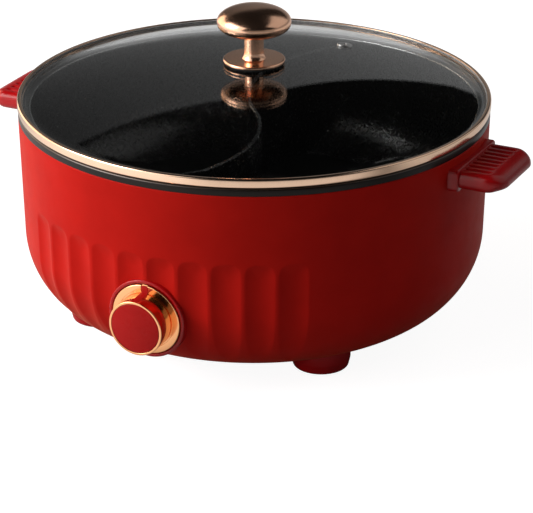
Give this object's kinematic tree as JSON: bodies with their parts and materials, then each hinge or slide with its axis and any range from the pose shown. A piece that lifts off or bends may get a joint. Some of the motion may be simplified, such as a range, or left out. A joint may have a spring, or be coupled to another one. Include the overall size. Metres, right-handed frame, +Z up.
{
  "type": "electric hot pot",
  "caption": "Round countertop electric hot pot with a fluted red shell, divided non-stick pan, front dial, side handles and a lift-off glass lid.",
  "frame": {"origin": "on the pan's vertical axis, at the level of the surface the feet stand on", "axes": "+Z up out of the pan; -Y is the front, where the dial is; +X and -X point through the side handles; +Y is the rear with the power inlet"},
  "size_m": [0.41, 0.3651, 0.2305],
  "materials": {
    "shell_red": "matt moulded red, fine grain",
    "gloss_red": "glossy moulded red",
    "rose_gold": "polished rose-gold plating",
    "dial_gold": "polished copper-gold plating",
    "pan_black": "black non-stick coating",
    "lid_glass": "clear tempered glass",
    "seal_black": "black silicone",
    "bright_steel": "plain steel",
    "aluminium": "cast aluminium",
    "heater_steel": "heat-stained steel sheath",
    "black_plastic": "black heat-resistant plastic",
    "cutout_white": "white heat-resistant moulding",
    "brass": "plain brass"
  },
  "bodies": {
    "base": {"outer_shell": "shell_red", "inner_pan": "pan_black", "pan_divider": "pan_black", "heat_spreader": "aluminium", "heater_tube": "heater_steel", "heater_terminals": "bright_steel", "heat_shield": "bright_steel", "thermal_cutout": "cutout_white", "cutout_strap": "bright_steel", "bottom_cover": "black_plastic", "pan_pillars": "bright_steel", "cover_screws": "bright_steel", "shield_clips": "bright_steel", "foot_front_right": "gloss_red", "foot_front_left": "gloss_red", "foot_rear_right": "gloss_red", "foot_rear_left": "gloss_red", "foot_pads": "seal_black", "foot_screws": "bright_steel", "handle_right": "gloss_red", "handle_left": "gloss_red", "handle_screws": "bright_steel", "dial_bezel": "gloss_red", "thermostat_bracket": "bright_steel", "thermostat_body": "black_plastic", "thermostat_screws": "bright_steel", "power_inlet": "black_plastic", "inlet_pins": "brass", "inlet_screws": "bright_steel"},
    "lid": {"lid_band": "rose_gold", "lid_edge_seal": "seal_black", "lid_glass": "lid_glass", "steam_vent_eyelet": "bright_steel", "lid_knob_gasket": "seal_black", "lid_knob_base": "rose_gold", "lid_knob": "rose_gold", "lid_knob_washer": "seal_black", "lid_knob_screw": "bright_steel"},
    "dial": {"dial_knob": "dial_gold", "dial_pointer": "gloss_red", "dial_cap": "gloss_red", "thermostat_shaft": "bright_steel"}
  },
  "joints": [
    {"name": "lid_lift", "type": "slide", "parent": "base", "child": "lid", "axis": [0, 0, 1], "range_m": [0, 0.15]},
    {"name": "dial_turn", "type": "hinge", "parent": "base", "child": "dial", "pos_m": [0, -0.167, 0.0555], "axis": [0, 0.9986, 0.0523], "range_deg": [0, 270]}
  ]
}
